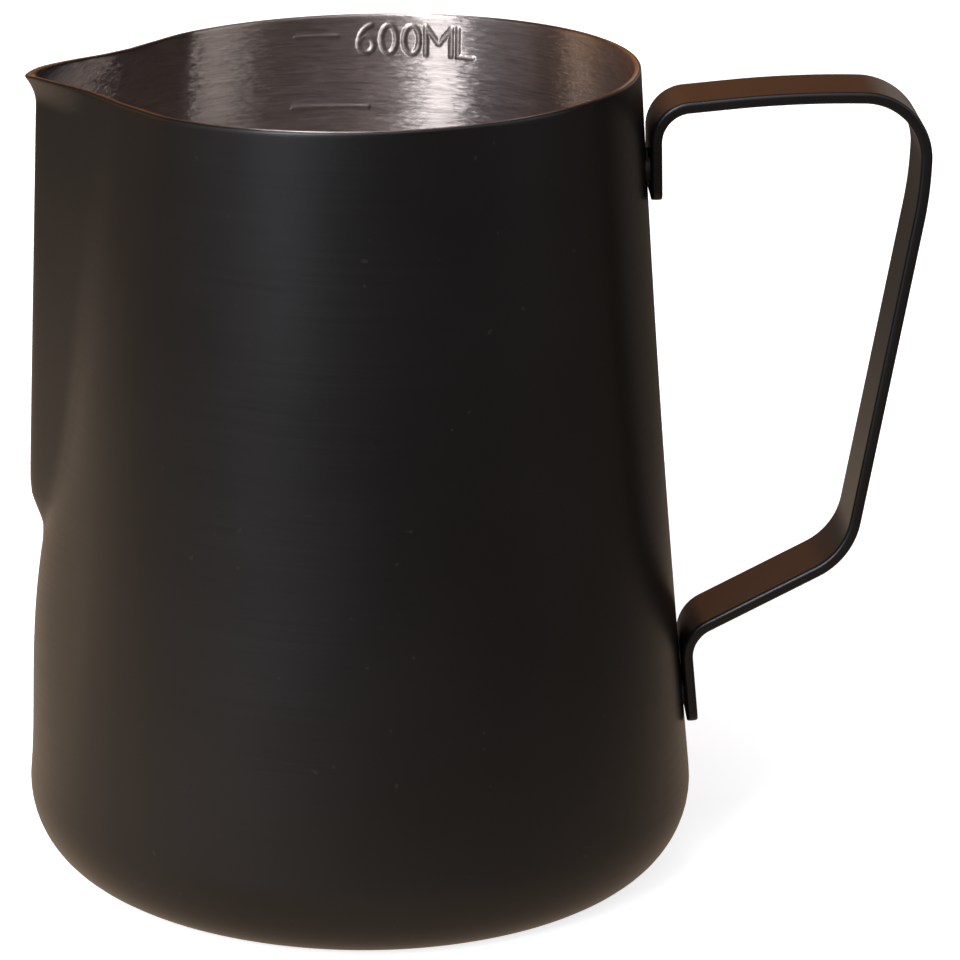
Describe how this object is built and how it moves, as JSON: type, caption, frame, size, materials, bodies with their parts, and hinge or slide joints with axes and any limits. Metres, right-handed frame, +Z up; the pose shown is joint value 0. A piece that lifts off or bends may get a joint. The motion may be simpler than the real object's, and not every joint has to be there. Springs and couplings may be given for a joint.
{
  "type": "milk frothing pitcher",
  "caption": "Handheld metal jug with a tapered round body, a pouring spout pressed into the rim and an open strap handle on the other side.",
  "frame": {"origin": "on the jug's axis, in the plane that the jug stands on", "axes": "+Z up along the jug's axis; +X towards the handle, -X towards the spout; the jug is symmetric about Y = 0"},
  "size_m": [0.1249, 0.095, 0.1144],
  "materials": {
    "jug_shell": "bare stainless steel brushed around the jug's axis",
    "jug_coating": "satin black coating with a fine even texture",
    "handle_strap": "satin black coating with a fine even texture",
    "weld": "dull fused stainless steel"
  },
  "bodies": {
    "root": {"jug_shell": "jug_shell", "jug_coating": "jug_coating", "handle_strap": "handle_strap", "upper_weld_nuggets": "weld", "lower_weld_nuggets": "weld"}
  },
  "joints": []
}
